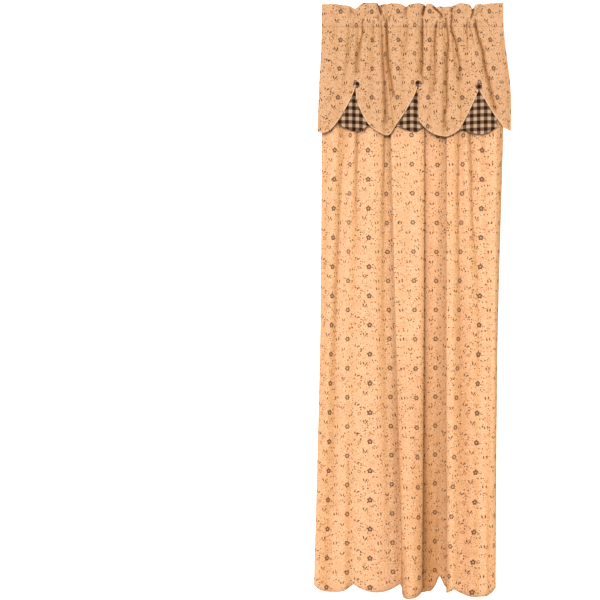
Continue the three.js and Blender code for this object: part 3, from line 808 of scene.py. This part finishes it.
def calico(name, offset, tones, strength):
    """Tan cotton with a small sprigged flower print and a plain weave."""
    pale, ground, deep = tones
    material, n, shader = new_material(name, CALICO_FINISH)
    vector, u, v = n.uv()
    wobble = n.noise(vector, "wobble")
    u = n.math("ADD", n.math("MULTIPLY_ADD", wobble, WOBBLE[0], offset[0]), u)
    v = n.math("ADD", n.math("MULTIPLY_ADD", wobble, WOBBLE[1], offset[1]), v)
    plane = n.add("ShaderNodeCombineXYZ", {0: u, 1: v}).outputs[0]

    cloud = n.step(n.noise(vector, "cloud"), *CLOUD_RANGE)
    speck = n.noise(vector, "speck")
    colour = n.mix(n.times(cloud, CLOUD_SHOWN), ground, deep)
    colour = n.mix(n.step(speck, *SPECK_DEEP), colour, deep)
    colour = n.mix(n.step(speck, *SPECK_PALE), colour, pale)
    for dots in DOTS:
        colour = scattered_dots(n, plane, colour, dots, strength)
    for sprig in SPRIGS:
        x, y = n.motif_frame(u, v, sprig["at"], sprig["turn"])
        leaves = n.leaves(x, y, sprig["apart"], sprig["lean"], sprig["size"])
        shown = n.times(leaves, min(1.0, sprig["strength"] * strength))
        colour = n.mix(shown, colour, sprig["ink"])
    for flower in FLOWERS:
        colour = printed_flower(n, u, v, colour, flower, ground)
    # Painted highlight along the valance's lower edges, then painted shade multiplied in from the values
    # that the points carry.
    colour = n.mix(n.times(n.carried("rim"), RIM_SHOWN), colour, RIM_HIGHLIGHT_TONE)
    for value, tint in TINTS.items():
        colour = n.mix(n.carried(value), colour, tint, blend_type="MULTIPLY")

    n.link(colour, shader.inputs["Base Color"])
    n.link(weave_normal(n, vector, u, v), shader.inputs["Normal"])
    return material


def weave_normal(n, vector, u, v):
    """Plain weave: warp over weft in a chequer of threads, with slubs and soft crumples."""
    across = n.math("SINE", n.times(u, math.pi / THREAD))
    along = n.math("SINE", n.times(v, math.pi / THREAD))
    threads = n.times(across, along)
    rough = n.math("MULTIPLY_ADD", threads, 0.5, n.noise(vector, "slubs"))
    fine = n.bump(rough, *THREAD_BUMP)
    soft = n.bump(n.noise(vector, "crumple"), *CRUMPLE_BUMP)
    n.link(fine.outputs[0], soft.inputs["Normal"])
    return soft.outputs[0]


def gingham(name):
    """Woven check: dark and pale threads in even bands both ways, so half the squares are mixed."""
    material, n, shader = new_material(name, CHECK_FINISH)
    vector, u, v = n.uv()
    bands = []
    for value in (u, v):
        share = n.math("FRACT", n.math("DIVIDE", value, CHECK))
        fall = n.math("ABSOLUTE", n.math("SUBTRACT", share, 0.5))
        bands.append(n.math("SUBTRACT", 1.0, n.step(fall, *BAND_EDGE)))
    colour = n.mix(n.math("MAXIMUM", *bands), CHECK_PALE, CHECK_MID)
    colour = n.mix(n.times(*bands), colour, CHECK_DARK)
    stray = n.times(n.noise(vector, "stray"), STRAY_SHOWN)
    n.link(n.mix(stray, colour, CHECK_PALE), shader.inputs["Base Color"])
    n.link(weave_normal(n, vector, u, v), shader.inputs["Normal"])
    return material


PANEL_CALICO = calico("panel_calico", **PANEL_PRINT)
VALANCE_CALICO = calico("valance_calico", **VALANCE_PRINT)
GUSSET_CHECK = gingham("gusset_check")
BUTTON_CHECK = gingham("button_check")


# Panel

def spaced(points, flat, count):
    """Even steps of the flat cloth along a smooth curve through the points (centripetal)."""
    p = np.concatenate([[2 * points[0] - points[1]], points, [2 * points[-1] - points[-2]]])
    curve = []
    t = np.linspace(0, 1, CURVE_STEPS, endpoint=False)[:, None]
    for i in range(1, len(p) - 2):
        p0, p1, p2, p3 = p[i - 1:i + 3]
        d0, d1, d2 = (np.linalg.norm(b - a) ** 0.5 for a, b in ((p0, p1), (p1, p2), (p2, p3)))
        m1 = ((p1 - p0) / d0 - (p2 - p0) / (d0 + d1) + (p2 - p1) / d1) * d1
        m2 = ((p2 - p1) / d1 - (p3 - p1) / (d1 + d2) + (p3 - p2) / d2) * d1
        curve.append(p1 + m1 * t + (3 * (p2 - p1) - 2 * m1 - m2) * t ** 2
                     + (2 * (p1 - p2) + m1 + m2) * t ** 3)
    curve = np.concatenate(curve + [points[-1:]])
    run = length_along(*curve.T)
    at = np.interp(np.linspace(0, FLAT_WIDTH, count), flat, run[::CURVE_STEPS])
    return np.column_stack([np.interp(at, run, line) for line in curve.T])


def length_along(x, y):
    return np.concatenate([[0], np.cumsum(np.hypot(np.diff(x), np.diff(y)))])


def gathered_section(z, count):
    """Under the valance the folds start as the gathers of the seam, set clear behind the valance."""
    x = np.linspace(*valance_sides(z), GATHER_SAMPLES)
    step = x[1] - x[0]
    reach = int(SEAM_CLEAR / step)
    front = np.pad(hanging_front(x, z), reach, mode="edge")
    clear = [front[reach + k:reach + k + len(x)] + math.sqrt(SEAM_CLEAR ** 2 - (k * step) ** 2)
             for k in range(-reach, reach + 1)]
    y = np.max(clear, axis=0) - SEAM_CLEAR + glide(GATHER_LEVELS, PANEL_BEHIND, z)
    run = length_along(x, y)
    at = np.linspace(0, run[-1], count)
    return np.column_stack([np.interp(at, run, x), np.interp(at, run, y)])


def folded_section(z, count):
    x, deep, flat = (np.array([glide(FOLD_LEVELS, fold[column], z) for fold in FOLDS])
                     for column in ("x", "deep", "flat"))
    return spaced(np.column_stack([x, RIDGE_PLANE + deep]), flat, count)


def hem_rise(share):
    """Rise of the hem above its lowest line: arcs between cusps."""
    half = SCALLOP_WIDTH / 2
    radius = (half * half + SCALLOP_RISE * SCALLOP_RISE) / (2 * SCALLOP_RISE)
    across = ((share * HEM_SCALLOPS) % 1) * 2 - 1
    arcs = radius - np.sqrt(radius * radius - (across * half) ** 2)
    for lift in HEM_LIFTS:
        arcs = arcs + lift["rise"] * trough(share * FLAT_WIDTH - lift["at"], lift["width"])
    return arcs


def turned(x, y):
    """How far a row of the cloth faces away from the key light, from 0 to 1, for the painted shade there.
    """
    along_x, along_y = np.gradient(x), np.gradient(y)
    toward = np.array(LIGHTS[0]["toward"][:2])
    facing = (along_y * toward[0] - along_x * toward[1]) / np.hypot(along_x, along_y)
    return np.clip((TURN_FROM - facing / np.hypot(*toward)) / TURN_FULL, 0.0, 1.0)


def soft_shade(lines, x, z):
    """Broad painted soft shade along lines of the panel, from a table of them."""
    return sum(glide(line["z"], line["full"], z)
               * trough(x - glide(line["z"], line["x"], z), line["wide"]) for line in lines)


def channel_glow(flat, z):
    """Painted shade deep in the channel: a warmer, darker tone for the shade and warm bounce light there.
    """
    inside = ease((flat - CHANNEL[0]) / CHANNEL_FADE) * ease((CHANNEL[1] - flat) / CHANNEL_FADE)
    return inside * glide(FOLD_LEVELS, CHANNEL_PAINTED_SHADE, z)


def make_panel():
    shares = np.linspace(0, 1, PANEL_COLUMNS + 1)
    flat = shares * FLAT_WIDTH
    rise = hem_rise(shares)
    rise[-1] = SCALLOP_RISE
    fall = np.linspace(0, 1, PANEL_ROWS + 1) ** ROW_SPREAD
    fronts, backs, uvs, folds, glows, turns = [], [], [], [], [], []
    for level in CLOTH_TOP + (HEM_BOTTOM - CLOTH_TOP) * fall:
        blend = ease((GATHER_LEVELS[0] - level) / (GATHER_LEVELS[0] - FOLD_LEVELS[0]))
        gathered = gathered_section(level, len(flat))
        line = gathered + (folded_section(level, len(flat)) - gathered) * blend
        drop = (CLOTH_TOP - level) / (CLOTH_TOP - HEM_BOTTOM)
        z = level + drop * rise
        tangent = np.gradient(line, axis=0)
        normal = np.stack([-tangent[:, 1], tangent[:, 0]], axis=1)
        normal /= np.linalg.norm(normal, axis=1)[:, None]
        wrinkle = WRINKLE_DEPTH * blend * ripple(flat, level * WRINKLE_DRIFT, WRINKLE_WAVE, WRINKLE_PHASE)
        middle = line + normal * wrinkle[:, None]
        creases = crease_depth(PANEL_CREASES, line[:, 0], z)
        middle[:, 1] += creases
        # Painted shade: creases and soft folds darkened, the channel and the band beside the left edge
        # painted warmer and darker, and cloth turned from the key light painted warmer.
        folds.append(PANEL_FOLD_SHARE * fold_shade(creases) + soft_shade(SHADES, line[:, 0], z))
        glows.append(channel_glow(flat, level) + soft_shade(SIDE_BAND, line[:, 0], z))
        turns.append(turned(*middle.T))
        fronts.append(np.column_stack([middle - normal * CLOTH / 2, z]))
        backs.append(np.column_stack([middle + normal * CLOTH / 2, z]))
        uvs.append(np.column_stack([flat, z]))
    panel = make_sheet("panel_cloth", np.array(fronts), np.array(backs), np.array(uvs), PANEL_CALICO)
    give_values(panel, fold=folds, glow=glows, turned=turns)
    return panel


# Valance

def valance_columns():
    """Even columns, moved onto the corners of the lower edge and closer together beside the slits."""
    left, right = VALANCE_LEFT[-1], VALANCE_RIGHT[-1]
    marks = [left, right]
    for row in LOWER_EDGE:
        if row["name"].startswith("slit"):
            at = row["at"][0]
            marks.append(at)
            shares = np.linspace(MARKS_FROM, 1, EDGE_MARKS)
            for corner, bend in zip((row["left"], row["right"]), row["bend"]):
                marks += [at + (corner[0] - at) * share ** (1 / bend) for share in shares]
    step = (right - left) / VALANCE_COLUMNS
    for x in np.arange(left + step, right - step / 2, step):
        if min(abs(m - x) for m in marks) > step * MARK_CLEAR:
            marks.append(x)
    marks = np.sort(marks)
    return marks[np.diff(marks, prepend=marks[0] - 1) > MARK_LEAST]


def unrolled(x, y, z):
    """Distance across the flat cloth, along one row of the gathered valance."""
    run = length_along(x, y)
    places = [np.interp(0.0, x - glide(GATHER_LEVELS, mark["x"], z), run) for mark in VALANCE_MARKS]
    flat = [mark["flat"] for mark in VALANCE_MARKS]
    return np.interp(run, [0.0] + places + [run[-1]], [0.0] + flat + [FLAT_WIDTH])


def make_valance():
    columns = valance_columns()
    foot = lower_edge(columns)
    top = LIP_BOTTOM - TOP_GAP
    levels = top + (SLIT_LEVEL - top) * np.linspace(0, 1, LEVEL_ROWS)
    shares = np.linspace(0, 1, VALANCE_ROWS - LEVEL_ROWS + 1)[1:]
    z = np.concatenate([
        levels[:, None] + 0.0 * foot,
        SLIT_LEVEL + (foot - SLIT_LEVEL) * shares[:, None],
    ])
    x = flared(columns[None, :], z)
    front, back = face_points(valance_front, x, z)
    middle = (front + back) / 2
    across = np.array([unrolled(*row.T) for row in middle])
    valance = make_sheet("valance_cloth", front, back, np.stack([across, z], axis=-1), VALANCE_CALICO)
    # Painted highlight along the lower edges, painted shade in the creases and their dark lines, and
    # painted shade where the cloth turns from the key light.
    rim = [[np.hypot(x[-1] - px, z[-1] - pz).min() for px, pz in zip(*row)] for row in zip(x, z)]
    give_values(valance,
                rim=trough(np.array(rim), RIM_WIDTH),
                fold=fold_shade(crease_depth(CREASES, x, z)),
                line=painted_crease_line(CREASES, x, z),
                turned=[turned(row[:, 0], row[:, 1]) for row in middle])
    return valance


# Gussets

def gusset_height(gusset):
    def height(x, z):
        drop = ease((TUCK_TOP - z) / TUCK_RISE)
        tuck = GUSSET_TUCK * drop * trough(x - gusset["pleat"], PLEAT_WIDTH)
        slope = slope_of(valance_front, x, z)
        return valance_front(x, z) + (CLOTH + GUSSET_GAP) * np.hypot(1, slope) + tuck
    return height


def make_gusset(gusset):
    slit = next(row for row in LOWER_EDGE if row["name"] == gusset["slit"])
    x = np.linspace(slit["left"][0] - GUSSET_SEAM, gusset["right"][0], GUSSET_COLUMNS + 1)
    foot = dict(at=gusset["low"], left=slit["left"], right=gusset["right"], bend=(GUSSET_BEND,) * 2)
    bottom = edge_curve(foot, x)
    top = np.maximum(edge_curve(slit, x), bottom) + GUSSET_SEAM
    z = top + (bottom - top) * np.linspace(0, 1, GUSSET_ROWS + 1)[:, None]
    x = np.repeat(x[None, :], len(z), axis=0)
    front, back = face_points(gusset_height(gusset), x, z)
    off = x - gusset["pleat"]
    turn = np.where(off < 0, *gusset["turn"])
    uv = np.stack([off, z + turn * np.abs(off)], axis=-1)
    return make_sheet(gusset["name"] + "_cloth", front, back, uv, GUSSET_CHECK)


# Heading

def ruffle_depth(x, share):
    depth = sum(gather["deep"][0] * trough(x - (gather["x"][0] + gather["lean"] * share), gather["width"])
                for gather in GATHERS)
    return depth * (1 + (RUFFLE_SWING - 1) * share)


def front_folds(x, z):
    """Creases of the pocket's front and of the ruffle, weaker where the pocket is pulled round."""
    held = HELD_CREASES + (1 - HELD_CREASES) * ease((-POCKET_HALF - z) / HELD_RISE)
    return held * crease_depth(CREASES, x, z) + crease_depth(RUFFLE_CREASES, x, z)


def heading_sections(x):
    """Outer and inner outlines of the ruffle and pocket at places along X: points in Y and Z."""
    seam_depth = gather_depth(x, CLOTH_TOP)
    gathered = np.minimum(1.0, seam_depth / SEAM_DEPTH)
    seam = SEAM_PLANE + seam_depth + puckers(x, CLOTH_TOP)
    top = through(RUFFLE_EDGE["x"], RUFFLE_EDGE["z"], x)
    front = -(POCKET_RADIUS + CLOTH + POCKET_RIPPLE * (1 - gathered))
    back = POCKET_RADIUS + CLOTH + POCKET_RIPPLE * gathered
    turns = np.radians(np.linspace(-POCKET_TURN, POCKET_TURN, POCKET_ROWS))
    inner_half = POCKET_HALF - CLOTH

    def folded(y, z, share):
        return np.stack([y + front_folds(x, z) * share, z], axis=-1)

    def wall(reach, half, offset, share):
        line = []
        for a in turns:
            z = half * math.sin(a) + 0.0 * x
            bulge = math.cos(a) ** 2 if share == 1.0 else math.cos(a)
            lean = (LIP_HALF - CLOTH) * (0.5 - 0.5 * math.sin(a)) if share == 1.0 and offset else 0.0
            start = seam + offset - lean
            line.append(folded(start + (reach - start) * bulge, z, share))
        return line

    def ruffle(side):
        line = []
        for share in np.linspace(0, 1, RUFFLE_ROWS):
            z = POCKET_HALF + (top - POCKET_HALF) * share
            y = SEAM_PLANE + ruffle_depth(x, share) + side * CLOTH
            line.append(folded(y, z, 1.0))
        return line

    def lip(side):
        return [folded(seam + side * LIP_HALF, z + 0.0 * x, 1.0) for z in (LIP_BOTTOM, -POCKET_HALF)]

    outer = (lip(-1) + wall(front, POCKET_HALF, -CLOTH, 1.0) + ruffle(-1)
             + ruffle(1)[::-1] + wall(back, POCKET_HALF, CLOTH, BACK_CREASES)[::-1] + lip(1)[::-1])
    foot = folded(seam, -inner_half + 0.0 * x, 1.0)
    crown = folded(seam, inner_half + 0.0 * x, 1.0)
    inner = ([foot] + wall(front + CLOTH, inner_half, 0, 1.0) + [crown]
             + wall(back - CLOTH, inner_half, 0, BACK_CREASES)[::-1])
    return np.stack(outer, axis=1), np.stack(inner, axis=1)


def make_heading():
    x = np.linspace(HEADING_LEFT, HEADING_RIGHT, HEADING_COLUMNS + 1)
    points, faces, smooth, loops = [], [], [], []
    for line, flip in zip(heading_sections(x), (False, True)):
        columns, count = line.shape[:2]
        index = len(points) + np.arange(columns * count).reshape(columns, count)
        after = np.roll(index, -1, axis=1)
        quads = np.stack([index[:-1], index[1:], after[1:], after[:-1]], axis=-1).reshape(-1, 4)
        faces += (quads[:, ::-1] if flip else quads).tolist()
        smooth += [flip or k < count - 1 for k in range(count)] * (columns - 1)
        points += np.column_stack([np.repeat(x, count), line.reshape(-1, 2)]).tolist()
        loops.append(index)
    points = np.array(points)
    px, _, pz = points.T
    for end in (0, -1):
        ring = np.concatenate([index[end] for index in loops])
        outlines = [[Vector(point) for point in points[index[end]]] for index in loops]
        cap = ring[np.array(tessellate_polygon(outlines))]
        faces += (cap if end else cap[:, ::-1]).tolist()
        smooth += [False] * len(cap)
    across = unrolled(x, hanging_front(x, CLOTH_TOP), CLOTH_TOP + 0.0 * x)
    uv = np.column_stack([np.interp(px, x, across), pz])
    heading = make_object("heading_cloth", points, faces, uv, VALANCE_CALICO, smooth)
    # Painted shade in the creases of the ruffle and pocket, and their painted dark lines.
    lines = painted_crease_line(CREASES + RUFFLE_CREASES, px, pz)
    give_values(heading, fold=fold_shade(front_folds(px, pz)), line=lines)
    return heading


# Buttons

def make_button(button):
    bx, bz = button["at"]
    seat = button_seat(button) - CLOTH / 2 - SEWN_GAP
    profile = [(0.0, 0.0), (BUTTON_RADIUS * 0.96, 0.0), (BUTTON_RADIUS, BUTTON_EDGE * 0.4)]
    for turn in np.radians(np.linspace(0, 90, BUTTON_RINGS)):
        rise = (BUTTON_CROWN - BUTTON_EDGE) * math.sin(turn)
        profile.append((BUTTON_RADIUS * math.cos(turn), BUTTON_EDGE + rise))
    pu, pv = button["cover"]
    points, uvs, faces = [], [], []
    for ring, (radius, height) in enumerate(profile):
        for k in range(BUTTON_SIDES):
            a = 2 * math.pi * k / BUTTON_SIDES
            pull = 1 + COVER_TUCK * math.sin(COVER_TUCKS * a) * (radius / BUTTON_RADIUS) ** 4
            x, z = radius * pull * math.cos(a), radius * pull * math.sin(a)
            points.append((bx + x, seat - height, bz + z))
            uvs.append((x * COVER_STRETCH + pu, z * COVER_STRETCH + pv))
            if ring:
                here, after = ring * BUTTON_SIDES + k, ring * BUTTON_SIDES + (k + 1) % BUTTON_SIDES
                faces.append((here - BUTTON_SIDES, after - BUTTON_SIDES, after, here))
    return make_object(button["name"] + "_cover", np.array(points), faces, np.array(uvs), BUTTON_CHECK)


# Camera, light and floor

def make_camera():
    data = bpy.data.cameras.new("camera")
    data.sensor_width = SENSOR
    data.lens = SENSOR * VIEW_DISTANCE / VIEW_WIDTH
    camera = placed("camera", data)
    camera.location = CAMERA_AT
    camera.rotation_euler = (math.pi / 2, 0, 0)
    bpy.context.scene.camera = camera


def make_studio():
    world = bpy.data.worlds.new("studio")
    world.use_nodes = True
    background = world.node_tree.nodes["Background"]
    background.inputs["Color"].default_value = (1.0, 1.0, 1.0, 1.0)
    background.inputs["Strength"].default_value = WORLD_STRENGTH
    bpy.context.scene.world = world
    bpy.context.scene.view_settings.view_transform = "Standard"
    bpy.context.scene.view_settings.look = "High Contrast"
    for light in LIGHTS:
        data = bpy.data.lights.new(light["name"], "SUN")
        data.energy = light["power"]
        data.angle = math.radians(light["spread"])
        lamp = placed(light["name"], data)
        lamp.rotation_euler = Vector(light["toward"]).to_track_quat("Z", "Y").to_euler()
    bpy.ops.mesh.primitive_circle_add(
        vertices=128, radius=FLOOR_RADIUS, fill_type="NGON", location=(0, 0, FLOOR))
    floor = bpy.context.object
    floor.name = "floor"
    floor.data.materials.append(new_material("pale_floor", FLOOR_FINISH)[0])


def dress(piece, node):
    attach(piece, "root")
    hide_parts(node)


make_camera()
make_studio()

panel = make_panel()
dress(panel, "panel")

valance = make_valance()
dress(valance, "valance")

heading = make_heading()
dress(heading, "heading")

for gusset in GUSSETS:
    piece = make_gusset(gusset)
    dress(piece, gusset["name"])

for button in BUTTONS:
    piece = make_button(button)
    dress(piece, button["name"])
